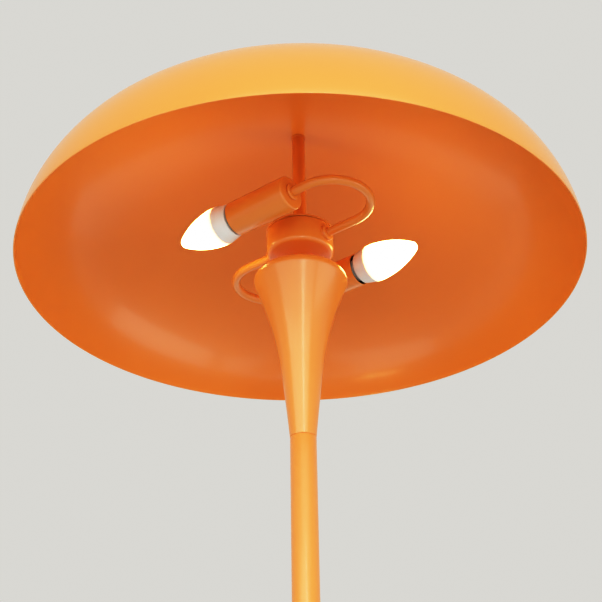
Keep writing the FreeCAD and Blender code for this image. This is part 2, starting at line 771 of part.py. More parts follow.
def wire_lead(side):
    """The insulated pair from the terminal block through the arm to the lampholder, on its real route."""
    bend, straight = value("lead_bend_radius"), value("lead_straight")
    start = FreeCAD.Vector(value("block_length / 2"), value("block_offset"), 0)
    first_corner = start.x + straight + bend
    spread, leg = value("arm_spread"), value("arm_leg")
    lead_end = value("holder_back - holder_back_wall - socket_arm_depth + fit_gap")
    turn = bend * math.sqrt(0.5)

    def arc(a, centre, middle, b):
        middle_point = FreeCAD.Vector(centre[0] + middle[0], centre[1] + middle[1], 0)
        return Part.Arc(a, middle_point, b).toShape()

    a = FreeCAD.Vector(start.x + straight, start.y, 0)
    b = FreeCAD.Vector(first_corner, start.y - bend, 0)
    c = FreeCAD.Vector(first_corner, bend, 0)
    d = FreeCAD.Vector(first_corner + bend, 0, 0)
    e = FreeCAD.Vector(leg, 0, 0)
    f = FreeCAD.Vector(leg, -spread * side, 0)
    g = FreeCAD.Vector(lead_end, -spread * side, 0)
    edges = [
        Part.LineSegment(start, a).toShape(),
        arc(a, (a.x, b.y), (turn, turn), b),
        Part.LineSegment(b, c).toShape(),
        arc(c, (d.x, c.y), (-turn, -turn), d),
        Part.LineSegment(d, e).toShape(),
        arc(e, (leg, -spread * side / 2), (spread / 2, 0), f),
        Part.LineSegment(f, g).toShape(),
    ]
    path = Part.Wire(edges)
    profile = Part.Wire([Part.makeCircle(value("lead_radius"), start, FreeCAD.Vector(1, 0, 0))])
    lead = path.makePipeShell([profile], True, False)
    if side < 0:
        lead = lead.mirror(FreeCAD.Vector(0, 0, 0), FreeCAD.Vector(1, 0, 0))
    feature = doc.addObject("Part::Feature", "Lead" + ("Left" if side > 0 else "Right"))
    feature.Shape = Part.Solid(Part.Shell(lead.Faces))
    feature.Placement.Rotation = FreeCAD.Rotation(FreeCAD.Vector(0, 0, 1), 90)
    return bind(feature, Placement__Base__z="arm_level", Placement__Rotation__Angle="-arm_turn")


def build_arms():
    arm_nuts = []
    for word, side in UNITS:
        title = word.capitalize()
        node(word + "_arm", arm_pipe(title + "Arm", side))

        face = "hub_radius + ferrule_height"
        ring = lying(
            title + "HubRing",
            [
                ("hub_bore", "arm_hole"),
                (face, "arm_hole"),
                (face, "ferrule_radius - ferrule_edge_radius", "ferrule_edge_radius", -1),
                (face + " - ferrule_edge_radius", "ferrule_radius"),
                ("hub_bore", "ferrule_radius"),
            ],
        )
        hub_face = cylinder(title + "HubFace", "hub_radius + fit_gap / 2", "hub_height", "hub_bottom")
        node(word + "_hub_ferrule", cut(title + "HubFerrule", aim_arm(ring, side), hub_face))

        nut = lying(
            title + "ArmNut",
            [
                ("arm_nut_face - arm_nut_height", "arm_hole"),
                ("arm_nut_face", "arm_hole"),
                ("arm_nut_face", "arm_nut_radius"),
                ("arm_nut_face - arm_nut_height", "arm_nut_radius"),
            ],
        )
        arm_nuts.append(aim_arm(nut, side))
        node(word + "_arm_lead", wire_lead(side))

    pair = doc.addObject("Part::Compound", "ArmLocknuts")
    pair.Links = arm_nuts
    node("arm_locknuts", pair)


# ---- lampholders ----


def build_lampholder(word, side):
    title = word.capitalize()

    def fixed(label, corners):
        node(f"{word}_{label}", aim_holder(lying(title + label.title().replace("_", ""), corners), side))

    edge = "holder_edge_radius"
    inner_edge = "holder_edge_radius - holder_wall"
    fixed(
        "holder_sleeve",
        [
            ("0", "arm_hole"),
            ("holder_back_wall", "arm_hole"),
            ("holder_back_wall", f"holder_radius - {edge}", inner_edge, 1),
            (f"holder_back_wall + {inner_edge}", "holder_bore"),
            ("holder_length", "holder_bore"),
            ("holder_length", "holder_radius"),
            (edge, "holder_radius", edge, 1),
            ("0", f"holder_radius - {edge}"),
        ],
    )
    ring = [
        ("0", "arm_hole"),
        ("0", "ferrule_radius"),
        ("ferrule_height - ferrule_edge_radius", "ferrule_radius", "ferrule_edge_radius", 1),
        ("ferrule_height", "ferrule_radius - ferrule_edge_radius"),
        ("ferrule_height", "arm_hole"),
    ]
    ferrule = lying(title + "HolderFerrule", ring)
    ferrule.Placement.Rotation = FreeCAD.Rotation(FreeCAD.Vector(0, 0, 1), 90)
    bind(
        ferrule,
        Placement__Base__x=f"{side} * holder_x",
        Placement__Base__y=f"{-side} * holder_y",
        Placement__Base__z="arm_level",
        Placement__Rotation__Angle="-arm_turn" if side > 0 else "180 - arm_turn",
    )
    node(word + "_holder_ferrule", ferrule)

    boss_end = "holder_back_wall + socket_boss_length"
    arm_floor = "holder_back_wall + socket_arm_depth"
    shell_seat = "shell_bore_radius + shell_wall + fit_gap"
    fixed(
        "lampholder",
        [
            ("holder_back_wall", "arm_hole"),
            ("holder_back_wall", "socket_boss_radius"),
            (boss_end, "socket_boss_radius"),
            (boss_end, "socket_radius - socket_chamfer"),
            (boss_end + " + socket_chamfer", "socket_radius"),
            ("socket_front", "socket_radius"),
            ("socket_front", "socket_mouth_radius"),
            ("socket_mouth_floor", "socket_mouth_radius"),
            ("socket_mouth_floor", shell_seat),
            ("socket_floor", shell_seat),
            ("socket_floor", "0"),
            (arm_floor, "0"),
            (arm_floor, "arm_hole"),
        ],
    )
    fixed(
        "socket_shell",
        [
            ("shell_start", "shell_bore_radius"),
            ("shell_start", "shell_bore_radius + shell_wall"),
            ("shell_end", "shell_bore_radius + shell_wall"),
            ("shell_end", "shell_bore_radius"),
        ],
    )
    fixed(
        "socket_contact",
        [
            ("socket_floor", "0"),
            ("socket_floor", "spring_radius"),
            ("contact_end - rest_gap", "spring_radius"),
            ("contact_end - rest_gap", "0"),
        ],
    )


# ---- bulbs ----


def build_bulb(word, side):
    title = word.capitalize()

    def piece(label, corners):
        node(f"{word}_{label}", aim_holder(lying(title + label.title().replace("_", ""), corners), side))

    piece(
        "bulb_contact",
        [
            ("contact_end", "0"),
            ("contact_end", "contact_radius - contact_chamfer"),
            ("contact_end + contact_chamfer", "contact_radius"),
            ("insulator_start", "contact_radius"),
            ("insulator_start", "0"),
        ],
    )
    piece(
        "bulb_insulator",
        [
            ("insulator_start", "0"),
            ("insulator_start", "insulator_tip_radius"),
            ("cap_start", "insulator_radius"),
            ("cap_start", "0"),
        ],
    )
    flange_start = "collar_start - cap_flange_thickness"
    piece(
        "bulb_cap",
        [
            ("cap_start", "0"),
            ("cap_start", "insulator_radius"),
            ("cap_start + cap_radius - insulator_radius", "cap_radius"),
            (flange_start, "cap_radius"),
            (flange_start, "cap_flange_radius"),
            ("collar_start", "cap_flange_radius"),
            ("collar_start", "0"),
        ],
    )
    piece(
        "bulb_collar",
        [
            ("collar_start", "0"),
            ("collar_start", "collar_foot_radius"),
            ("collar_shoulder", "collar_neck_radius"),
            ("collar_shoulder", "collar_shoulder_radius - collar_shoulder_edge", "collar_shoulder_edge", -1),
            ("collar_shoulder + collar_shoulder_edge", "collar_shoulder_radius"),
            ("glow_start", "bulb_radius"),
            ("glow_start", "0"),
        ],
    )
    piece(
        "bulb_board",
        [
            ("glow_start", "0"),
            ("glow_start", "board_radius"),
            ("glow_start + board_thickness", "board_radius"),
            ("glow_start + board_thickness", "0"),
        ],
    )
    inner_tip = "(bulb_tip_radius - bulb_wall)"
    piece(
        "bulb_diffuser",
        [
            ("glow_start", "bulb_radius - bulb_wall"),
            ("glow_start", "bulb_radius", "glow_side_radius", -1),
            (
                "bulb_tip_centre + bulb_tip_radius * glow_cos",
                "bulb_tip_radius * glow_sin",
                "bulb_tip_radius",
                -1,
            ),
            ("bulb_tip", "0"),
            ("bulb_tip - bulb_wall", "0", inner_tip, 1),
            (
                f"bulb_tip_centre + {inner_tip} * glow_cos",
                f"{inner_tip} * glow_sin",
                "glow_side_radius - bulb_wall",
                1,
            ),
        ],
    )


# ---- shade ----


def build_shade():
    node("rod_sleeve", tube("RodSleeve", "neck_radius", "rod_hole", "rod_sleeve_length", "lid_top"))
    node("seat_ring", tube("SeatRing", "seat_ring_radius", "rod_hole", "seat_ring_thickness", "sleeve_top"))
    node(
        "shade",
        turned(
            "Shade",
            [
                ("rod_clear_hole", "shade_land"),
                ("rod_clear_hole", "shade_land - shade_wall"),
                ("shade_land_radius", "shade_land - shade_wall", "shade_crown_radius - shade_wall", -1),
                (
                    "shade_side_centre + (shade_side_radius - shade_wall) * shade_meet_cos",
                    "(shade_side_radius - shade_wall) * shade_meet_sin - shade_side_drop",
                    "shade_side_radius - shade_wall",
                    -1,
                ),
                (
                    "shade_radius - shade_wall * cos(shade_rim_lean)",
                    "-shade_wall * sin(shade_rim_lean)",
                ),
                ("shade_radius", "0", "shade_side_radius", 1),
                (
                    "shade_side_centre + shade_side_radius * shade_meet_cos",
                    "shade_side_radius * shade_meet_sin - shade_side_drop",
                    "shade_crown_radius",
                    1,
                ),
                ("shade_land_radius", "shade_land"),
            ],
            "shade_rim",
        ),
    )
    thickness = "finial_washer_thickness"
    washer = tube("FinialWasher", "finial_washer_radius", "rod_clear_hole", thickness, "shade_top")
    node("finial_washer", washer)
    dome_radius = "(finial_radius^2 + finial_dome_height^2) / (2 * finial_dome_height)"
    node(
        "finial",
        turned(
            "Finial",
            [
                ("rod_hole", "0"),
                ("finial_radius - finial_edge_radius", "0", "finial_edge_radius", 1),
                ("finial_radius", "finial_edge_radius"),
                ("finial_radius", "finial_side_height", dome_radius, 1),
                ("0", "finial_side_height + finial_dome_height"),
                ("0", "finial_thread_depth"),
                ("rod_hole", "finial_thread_depth"),
            ],
            "finial_seat",
        ),
    )


build_base()
build_stem()
build_trumpet()
build_hub()
build_arms()
for unit_word, unit_side in UNITS:
    build_lampholder(unit_word, unit_side)
    build_bulb(unit_word, unit_side)
build_shade()
doc.recompute()

for thing in doc.Objects:
    if "Invalid" in thing.State or "Error" in thing.State:
        raise RuntimeError(f"{thing.Label} did not build: {thing.State}")
for label, thing in nodes.items():
    if thing.Shape.isNull() or not thing.Shape.isValid() or thing.Shape.Volume <= 0:
        raise RuntimeError(f"{label} has no valid solid")

os.makedirs("parts", exist_ok=True)
for label, thing in nodes.items():
    thing.Shape.exportStep(f"parts/{label}.step")
height = value("finial_seat + finial_side_height + finial_dome_height")
print(len(nodes), "sub-parts, overall height", round(height, 1))
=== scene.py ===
import json
from math import asin, atan2, copysign, cos, exp, hypot, pi, radians, sin, sqrt

import bmesh
import bpy
from mathutils import Matrix, Vector


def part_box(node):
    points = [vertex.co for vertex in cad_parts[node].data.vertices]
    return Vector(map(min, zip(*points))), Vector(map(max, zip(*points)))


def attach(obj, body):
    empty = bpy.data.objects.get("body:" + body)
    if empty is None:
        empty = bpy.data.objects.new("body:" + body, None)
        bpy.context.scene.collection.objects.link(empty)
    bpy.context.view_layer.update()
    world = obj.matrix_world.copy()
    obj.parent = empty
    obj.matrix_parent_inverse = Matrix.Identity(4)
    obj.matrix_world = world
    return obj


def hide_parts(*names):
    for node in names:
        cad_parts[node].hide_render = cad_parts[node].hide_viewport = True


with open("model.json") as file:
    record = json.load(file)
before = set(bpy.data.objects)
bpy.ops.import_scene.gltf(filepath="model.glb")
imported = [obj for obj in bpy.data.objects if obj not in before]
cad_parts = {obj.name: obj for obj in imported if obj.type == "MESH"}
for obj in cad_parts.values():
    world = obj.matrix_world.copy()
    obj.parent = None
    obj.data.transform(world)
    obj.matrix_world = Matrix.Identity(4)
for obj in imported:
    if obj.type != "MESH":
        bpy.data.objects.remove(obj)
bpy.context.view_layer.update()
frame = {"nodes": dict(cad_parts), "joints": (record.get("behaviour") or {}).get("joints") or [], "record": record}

# A mushroom floor lamp: spun dome shade, looped arms with candle bulbs, trumpet neck, slim stem and
# round base. Metres, +Z up, origin on the floor under the stem; a person facing it looks along +Y.

MM = 0.001
UP = Vector((0, 0, 1))

record = frame["record"]
BODY_OF = {node: body for body, nodes in record["behaviour"]["bodies"].items() for node in nodes}
SLOT_OF = {row["node"]: row["material_slot"] for row in record["subparts"]}

# ---- lines that the pieces are turned about ----


def corners_of(node):
    return [vertex.co for vertex in frame["nodes"][node].data.vertices]


class Line:
    """An axis: a point on it and the way it runs. Distances along it start at the point."""

    def __init__(self, point, heading):
        self.point = Vector(point)
        self.heading = Vector(heading).normalized()

    def along(self, place):
        return (place - self.point).dot(self.heading)

    def span(self, node):
        """Where a node starts and ends along this line."""
        reach = [self.along(corner) for corner in corners_of(node)]
        return min(reach), max(reach)

    def widest(self, node):
        """A node's largest distance from this line."""
        return max((c - self.point - self.heading * self.along(c)).length for c in corners_of(node))

    def matrix(self):
        """Puts a piece that was turned about Z on this line."""
        turn = self.heading.to_track_quat("Z", "Y").to_matrix().to_4x4()
        return Matrix.Translation(self.point) @ turn


STEM = Line((0, 0, 0), UP)


def box_middle(node):
    low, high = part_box(node)
    return (low + high) / 2


def joint_heading(name):
    return next(joint["axis"] for joint in frame["joints"] if joint["name"] == name)


def holder_line(word):
    """A unit's lampholder axis, from the holder's closed back to the bulb's tip."""
    line = Line(box_middle(f"{word}_socket_shell"), joint_heading(f"{word}_bulb_out"))
    back, _ = line.span(f"{word}_holder_sleeve")
    return Line(line.point + line.heading * back, line.heading)


HOLDERS = {word: holder_line(word) for word in ("left", "right")}

# ---- finishes ----


class Signal:
    """A number inside a finish that may vary over the surface; arithmetic adds the nodes for it."""

    def __init__(self, finish, socket):
        self.finish = finish
        self.socket = socket

    def maths(self, operation, *terms):
        return self.finish.node("Math", {"operation": operation}, dict(enumerate(terms)))

    def __add__(self, other):
        return self.maths("ADD", self, other)

    def __sub__(self, other):
        return self.maths("SUBTRACT", self, other)

    def __rsub__(self, other):
        return self.maths("SUBTRACT", other, self)

    def __mul__(self, other):
        return self.maths("MULTIPLY", self, other)

    def __truediv__(self, other):
        return self.maths("DIVIDE", self, other)

    def __pow__(self, other):
        return self.maths("POWER", self, other)

    __radd__ = __add__
    __rmul__ = __mul__

    def kept(self):
        """The same number held between 0 and 1."""
        return self.maths("MAXIMUM", self.maths("MINIMUM", self, 1), 0)


class Finish:
    """A material on Object coordinates, around one Principled shader."""

    def __init__(self, name, constants):
        self.material = bpy.data.materials.new(name)
        self.material.use_nodes = True
        self.nodes = self.material.node_tree.nodes
        self.links = self.material.node_tree.links
        self.shader = self.nodes["Principled BSDF"]
        self.place = self.node("TexCoord", output="Object")
        self.feed(self.shader, constants)

    def feed(self, node, values):
        for name, value in values.items():
            if isinstance(value, Signal):
                self.links.new(value.socket, node.inputs[name])
            else:
                node.inputs[name].default_value = value

    def node(self, kind, settings=None, values=None, output=0):
        made = self.nodes.new("ShaderNode" + kind)
        for name, value in (settings or {}).items():
            setattr(made, name, value)
        self.feed(made, values or {})
        return Signal(self, made.outputs[output])

    def surface(self, values):
        """What varies over the surface."""
        self.feed(self.shader, values)
        return self.material

    def noise(self, size, detail=2):
        """Soft noise from 0 to 1 with features about that size across."""
        values = {"Vector": self.place, "Scale": 1 / size, "Detail": detail, "Roughness": 0.5}
        return self.node("TexNoise", {}, values)

    def mixed(self, share, first, second):
        """A colour between two colours."""
        colours = {0: share, 6: first, 7: second}
        return self.node("Mix", {"data_type": "RGBA", "clamp_factor": True}, colours, output=2)

    def relief(self, height, depth):
        """The bump of a height from 0 to 1 that is that deep."""
        return self.node("Bump", {}, {"Height": height, "Distance": depth, "Strength": 1})


def rgb(red, green, blue):
    return red, green, blue, 1


def orange_coat():
    """Satin powder coat: a film of slightly uneven thickness with the faint dimples of orange peel."""
    coat = Finish("orange_powder_coat", {"IOR": 1.5, "Coat Roughness": 0.14})
    film = coat.noise(180 * MM, detail=3)
    peel = coat.noise(1.6 * MM, detail=1)
    grain = coat.noise(0.35 * MM, detail=1)
    return coat.surface({
        "Base Color": coat.mixed(film, rgb(0.78, 0.284, 0.060), rgb(0.83, 0.314, 0.072)),
        "Roughness": 0.27 + 0.06 * film + 0.05 * grain,
        "Coat Weight": 0.44 + 0.12 * film,
        "Normal": coat.relief(0.8 * peel + 0.2 * grain, 0.02 * MM),
    })


def cast_iron():
    """Sand-cast iron: dark, grainy and pitted, with a little rust in the hollows."""
    iron = Finish("grey_cast_iron", {"Metallic": 0.6})
    sand = iron.noise(0.9 * MM, detail=4)
    patch = iron.noise(25 * MM, detail=3)
    rust = (patch * 2 - 1.1).kept()
    return iron.surface({
        "Base Color": iron.mixed(rust, rgb(0.055, 0.055, 0.06), rgb(0.13, 0.055, 0.028)),
        "Roughness": 0.62 + 0.25 * sand,
        "Normal": iron.relief(sand, 0.25 * MM),
    })


def dull_rubber(name, colour, grain_size):
    """Matte rubber with a fine moulded grain and a dusty bloom."""
    rubber = Finish(name, {"Specular IOR Level": 0.35})
    grain = rubber.noise(grain_size)
    bloom = rubber.noise(12 * MM, detail=4)
    pale = rgb(*[0.05 + 1.3 * part for part in colour])
    return rubber.surface({
        "Base Color": rubber.mixed(0.5 * bloom, rgb(*colour), pale),
        "Roughness": 0.66 + 0.2 * grain,
        "Normal": rubber.relief(grain, 0.06 * MM),
    })


def plated(name, bright, dull, roughness):
    """Plated or rolled metal: fine turning marks, and a tarnish in soft patches."""
    metal = Finish(name, {"Metallic": 1.0})
    marks = metal.noise(0.5 * MM, detail=2)
    tarnish = metal.noise(6 * MM, detail=4)
    return metal.surface({
        "Base Color": metal.mixed(tarnish, rgb(*bright), rgb(*dull)),
        "Roughness": roughness + 0.12 * tarnish + 0.06 * marks,
        "Normal": metal.relief(marks, 0.012 * MM),
    })


def moulded(name, light, dark, roughness, specular=0.5):
    """Moulded plastic with a spark-eroded grain and faint flow shading."""
    plastic = Finish(name, {"Specular IOR Level": specular})
    grain = plastic.noise(0.3 * MM, detail=2)
    flow = plastic.noise(20 * MM, detail=2)
    return plastic.surface({
        "Base Color": plastic.mixed(flow, rgb(*light), rgb(*dark)),
        "Roughness": roughness + 0.1 * grain,
        "Normal": plastic.relief(grain, 0.015 * MM),
    })


GLOW_STRENGTH = 13
GLOW_FADE = 6 * MM


def lit_opal(word):
    """The glowing diffuser of one bulb: white, and dimmer and warmer beside the board at its foot."""
    line = HOLDERS[word]
    opal = Finish(f"{word}_lit_opal", {"Emission Strength": GLOW_STRENGTH, "Subsurface Weight": 0.2})
    foot, _ = line.span(f"{word}_bulb_diffuser")
    start = line.point + line.heading * foot
    away = opal.node("VectorMath", {"operation": "SUBTRACT"}, {0: opal.place, 1: start})
    ends = {0: away, 1: line.heading}
    along = opal.node("VectorMath", {"operation": "DOT_PRODUCT"}, ends, output="Value")
    shine = (along / GLOW_FADE).kept() ** 1.5
    haze = opal.noise(9 * MM)
    return opal.surface({
        "Base Color": opal.mixed(haze, rgb(0.86, 0.84, 0.80), rgb(0.90, 0.88, 0.84)),
        "Roughness": 0.32 + 0.1 * haze,
        "Emission Color": opal.mixed(shine, rgb(0.026, 0.018, 0.007), rgb(1.0, 0.74, 0.30)),
        "Normal": opal.relief(haze, 0.03 * MM),
    })


FINISHES = {
    "orange_coat": orange_coat(),
    "cast_iron": cast_iron(),
    "foot_rubber": dull_rubber("foot_rubber", (0.022, 0.022, 0.022), 1.2 * MM),
    "black_rubber": dull_rubber("black_rubber", (0.012, 0.012, 0.012), 0.4 * MM),
    "zinc": plated("bright_zinc", (0.66, 0.66, 0.64), (0.50, 0.50, 0.50), 0.30),
    "terminal_plastic": moulded("terminal_polyamide", (0.78, 0.77, 0.71), (0.72, 0.71, 0.66), 0.42),
    "lead_sheath": moulded("silicone_sheath", (0.70, 0.70, 0.70), (0.62, 0.62, 0.62), 0.48),
    "black_plastic": moulded("black_thermoset", (0.010, 0.010, 0.010), (0.016, 0.016, 0.016), 0.38),
    "contact_brass": plated("contact_brass", (0.78, 0.56, 0.25), (0.55, 0.38, 0.17), 0.28),
    "cap_nickel": plated("cap_nickel", (0.72, 0.70, 0.66), (0.58, 0.56, 0.52), 0.20),
    "bulb_housing": moulded("white_housing", (0.84, 0.82, 0.80), (0.80, 0.78, 0.76), 0.40),
    "board_metal": plated("board_aluminium", (0.80, 0.80, 0.80), (0.70, 0.70, 0.70), 0.34),
}
OPALS = {f"{word}_bulb_diffuser": lit_opal(word) for word in HOLDERS}


def finish_of(node):
    return OPALS.get(node) or FINISHES[SLOT_OF[node]]


for node, thing in frame["nodes"].items():
    for slot in thing.material_slots:
        slot.material = finish_of(node)

# ---- turned pieces ----

SMOOTH_BELOW = radians(32)
SAME_PLACE = 0.001 * MM
ON_FACE = 0.01 * MM


class Outline:
    """A turned piece's half section: first the distance from the axis, then the distance along it."""

    def __init__(self, across, along):
        self.mesh = bmesh.new()
        self.start = self.pen = self.mesh.verts.new((across, 0, along))
        self.corners = []

    def soften(self, edge):
        """Marks the pen's corner to be rounded, from that far before it to that far after it."""
        if edge:
            self.corners.append((self.pen, edge))
        return self

    def line(self, across, along, edge=0):
        self.pen = bmesh.ops.extrude_vert_indiv(self.mesh, verts=[self.pen])["verts"][0]
        self.pen.co = across, 0, along
        return self.soften(edge)

    def arc(self, across, along, bend, steps=8, edge=0):
        """An arc of radius bend that swells to the right of its run, or where bend < 0 to the left."""
        start, end = self.pen.co.copy(), Vector((across, 0, along))
        run = end - start
        half = run.length / 2
        aside = Vector((run.z, 0, -run.x)).normalized() * copysign(1, bend)
        centre = (start + end) / 2 - aside * sqrt(max(bend**2 - half**2, 0))
        turn = copysign(2 * asin(min(half / abs(bend), 1)), bend)
        swept = bmesh.ops.spin(
            self.mesh, geom=[self.pen], cent=centre, axis=(0, -1, 0), angle=turn, steps=steps
        )
        self.pen = swept["geom_last"][0]
        return self.soften(edge)

    def close(self, edge=0):
        """Joins the last point to the first."""
        self.mesh.edges.new((self.pen, self.start))
        self.pen = self.start
        return self.soften(edge)

    def turned(self, steps=96):
        """The solid that the half section makes in a full turn about Z."""
        for corner, edge in self.corners:
            bmesh.ops.bevel(
                self.mesh, geom=[corner], offset=edge, offset_type="OFFSET", segments=4,
                profile=0.5, affect="VERTICES", material=-1,
            )
        section = self.mesh.verts[:] + self.mesh.edges[:]
        bmesh.ops.spin(
            self.mesh, geom=section, cent=(0, 0, 0), axis=UP, angle=2 * pi, steps=steps, use_merge=True
        )
        bmesh.ops.remove_doubles(self.mesh, verts=self.mesh.verts[:], dist=SAME_PLACE)
        bmesh.ops.recalc_face_normals(self.mesh, faces=self.mesh.faces[:])
        return self.mesh


def dress(name, mesh, node, line=None):
    """Makes a finished mesh the piece that stands for a CAD node, with that node's body and finish."""
    if line:
        mesh.transform(line.matrix())
    data = bpy.data.meshes.new(name)
    mesh.to_mesh(data)
    mesh.free()
    data.shade_smooth()
    data.set_sharp_from_angle(angle=SMOOTH_BELOW)
    data.materials.append(finish_of(node))
    piece = bpy.data.objects.new(name, data)
    bpy.context.scene.collection.objects.link(piece)
    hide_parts(node)
    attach(piece, BODY_OF[node])
    return piece


def ring(name, node, bore, line=STEM, edge=0.3 * MM, steps=96):
    """A plain tube or ring with softened ends; its size is the node's own."""
    first, last = line.span(node)
    wide = line.widest(node)
    section = Outline(bore, first).line(wide, first, edge).line(wide, last, edge)
    section.line(bore, last).close()
    return dress(name, section.turned(steps), node, line)


def screw_thread(mesh, crest, pitch, depth, first, last):
    """Cuts a right-hand thread into the turned face of that radius, between two distances along Z."""
    for vertex in mesh.verts:
        across = hypot(vertex.co.x, vertex.co.y)
        if abs(across - crest) > ON_FACE or not first < vertex.co.z < last:
            continue
        turns = atan2(vertex.co.y, vertex.co.x) / (2 * pi)
        wave = (1 - cos(2 * pi * (vertex.co.z / pitch - turns))) / 2
        fade = min(1, (vertex.co.z - first) / pitch, (last - vertex.co.z) / pitch)
        vertex.co.xy *= 1 - depth * wave * fade / across


# ---- shade and finial ----

SHADE_WALL = 1.0 * MM
SHADE_RISE = 157.5 * MM
SHADE_SIDE_BEND = 125 * MM
SHADE_RIM_LEAN = radians(3.7)
SHADE_LAND = 12.5 * MM
ROD_CLEAR_HOLE = 5.25 * MM


def make_shade():
    """The spun dome: a flat seat at the top, a shallow crown, a rounder side and a plain thin rim."""
    rim, top = STEM.span("shade")
    wide = STEM.widest("shade")
    side_centre = wide - SHADE_SIDE_BEND * cos(SHADE_RIM_LEAN)
    drop = SHADE_SIDE_BEND * sin(SHADE_RIM_LEAN)
    rim += SHADE_WALL * sin(SHADE_RIM_LEAN)
    rise = SHADE_RISE + drop
    crown = (side_centre**2 + rise**2 - SHADE_SIDE_BEND**2) / (2 * (rise - SHADE_SIDE_BEND))
    meet_cos = side_centre / (crown - SHADE_SIDE_BEND)
    meet_sin = sqrt(1 - meet_cos**2)

    def meet(wall):
        bend = SHADE_SIDE_BEND - wall
        return side_centre + bend * meet_cos, rim - drop + bend * meet_sin

    lip = 0.42 * SHADE_WALL
    inner_rim = wide - SHADE_WALL * cos(SHADE_RIM_LEAN), rim - SHADE_WALL * sin(SHADE_RIM_LEAN)
    section = Outline(ROD_CLEAR_HOLE, top).line(SHADE_LAND, top)
    section.arc(*meet(0), -crown, steps=36)
    section.arc(wide, rim, -SHADE_SIDE_BEND, steps=28, edge=lip)
    section.line(*inner_rim, edge=lip)
    section.arc(*meet(SHADE_WALL), SHADE_SIDE_BEND - SHADE_WALL, steps=28)
    section.arc(SHADE_LAND, top - SHADE_WALL, crown - SHADE_WALL, steps=36)
    section.line(ROD_CLEAR_HOLE, top - SHADE_WALL).close()
    dress("spun_shade", section.turned(256), "shade", STEM)


make_shade()

FINIAL_SIDE = 9.5 * MM
FINIAL_EDGE = 0.8 * MM
FINIAL_BORE = 5.1 * MM
FINIAL_THREAD_DEPTH = 10 * MM
KNURL_TEETH = 48
KNURL_DEPTH = 0.3 * MM
KNURL_ROWS = (0.15, 0.3, 0.7, 0.85)
KNURL_REACH = 0.3
STEPS_PER_TOOTH = 6


def make_finial():
    """The domed nut over the shade, with a straight knurl round its side for the fingers."""
    seat, tip = STEM.span("finial")
    wide = STEM.widest("finial")
    shoulder = seat + FINIAL_SIDE
    dome = (wide**2 + (tip - shoulder) ** 2) / (2 * (tip - shoulder))
    section = Outline(FINIAL_BORE, seat).line(wide, seat, FINIAL_EDGE)
    for share in KNURL_ROWS:
        section.line(wide, seat + share * FINIAL_SIDE)
    section.line(wide, shoulder, 0.5 * MM).arc(0, tip, dome, steps=10)
    section.line(0, seat + FINIAL_THREAD_DEPTH).line(FINIAL_BORE, seat + FINIAL_THREAD_DEPTH).close()
    mesh = section.turned(KNURL_TEETH * STEPS_PER_TOOTH)
    knurl_middle = seat + FINIAL_SIDE / 2
    for vertex in mesh.verts:
        off_middle = abs(vertex.co.z - knurl_middle) / FINIAL_SIDE
        if abs(hypot(vertex.co.x, vertex.co.y) - wide) < ON_FACE and off_middle < KNURL_REACH:
            tooth = (1 - cos(KNURL_TEETH * atan2(vertex.co.y, vertex.co.x))) / 2
            vertex.co.xy *= 1 - KNURL_DEPTH * tooth / wide
    dress("knurled_finial", mesh, "finial", STEM)


make_finial()
ring("coated_finial_washer", "finial_washer", ROD_CLEAR_HOLE)

# ---- rod, sleeves and hub ----

ROD_HOLE = 5.1 * MM
ROD_BORE = 3.5 * MM
ROD_PITCH = 1 * MM
ROD_THREAD_DEPTH = 0.55 * MM
THREAD_ROWS = 8


def make_rod():
    """The hollow rod from the trumpet to the finial; its thread shows when the shade is off."""
    bottom, top = STEM.span("centre_rod")
    wide = STEM.widest("centre_rod")
    thread_start = STEM.span("seat_ring")[0] - 6 * ROD_PITCH
    section = Outline(ROD_BORE, bottom).line(wide, bottom, 0.3 * MM).line(wide, thread_start)
    rows = round((top - thread_start) / ROD_PITCH * THREAD_ROWS)
    for row in range(1, rows):
        section.line(wide, thread_start + (top - thread_start) * row / rows)
    section.line(wide, top, 0.1 * MM).line(ROD_BORE, top).close()
    mesh = section.turned(48)
    screw_thread(mesh, wide, ROD_PITCH, ROD_THREAD_DEPTH, thread_start, top)
    dress("threaded_rod", mesh, "centre_rod", STEM)


make_rod()
ring("shade_seat_ring", "seat_ring", ROD_HOLE)
ring("slim_rod_sleeve", "rod_sleeve", ROD_HOLE)
ring("short_neck", "neck_sleeve", ROD_HOLE)

HUB_WALL = 2 * MM
HUB_EDGE = 4 * MM
LID_THICKNESS = 1.7 * MM
LID_EDGE = 0.6 * MM
LID_SPIGOT_WALL = 1.6 * MM
FIT = 0.1 * MM


def make_hub():
    """The cup that both arms leave, with a rounded lower edge, and its lid over a narrow dark gap."""
    floor, rim = STEM.span("hub_body")
    wide = STEM.widest("hub_body")
    bore = wide - HUB_WALL
    cup = Outline(ROD_HOLE, floor).line(wide - HUB_EDGE, floor).arc(wide, floor + HUB_EDGE, HUB_EDGE)
    cup.line(wide, rim, 0.25 * MM).line(bore, rim, 0.25 * MM).line(bore, floor + HUB_EDGE)
    cup.arc(bore - HUB_EDGE + HUB_WALL, floor + HUB_WALL, HUB_WALL - HUB_EDGE)
    cup.line(ROD_HOLE, floor + HUB_WALL).close()
    dress("hub_cup", cup.turned(128), "hub_body", STEM)

    spigot, top = STEM.span("hub_lid")
    lid_wide = STEM.widest("hub_lid")
    under = top - LID_THICKNESS
    spigot_wide = bore - FIT
    lid = Outline(ROD_HOLE, under).line(spigot_wide - LID_SPIGOT_WALL, under)
    lid.line(spigot_wide - LID_SPIGOT_WALL, spigot).line(spigot_wide, spigot, 0.3 * MM)
    lid.line(spigot_wide, under).line(lid_wide, under, 0.2 * MM).line(lid_wide, top, LID_EDGE)
    lid.line(ROD_HOLE, top).close()
    dress("hub_cap", lid.turned(128), "hub_lid", STEM)


make_hub()

# ---- trumpet and stem ----

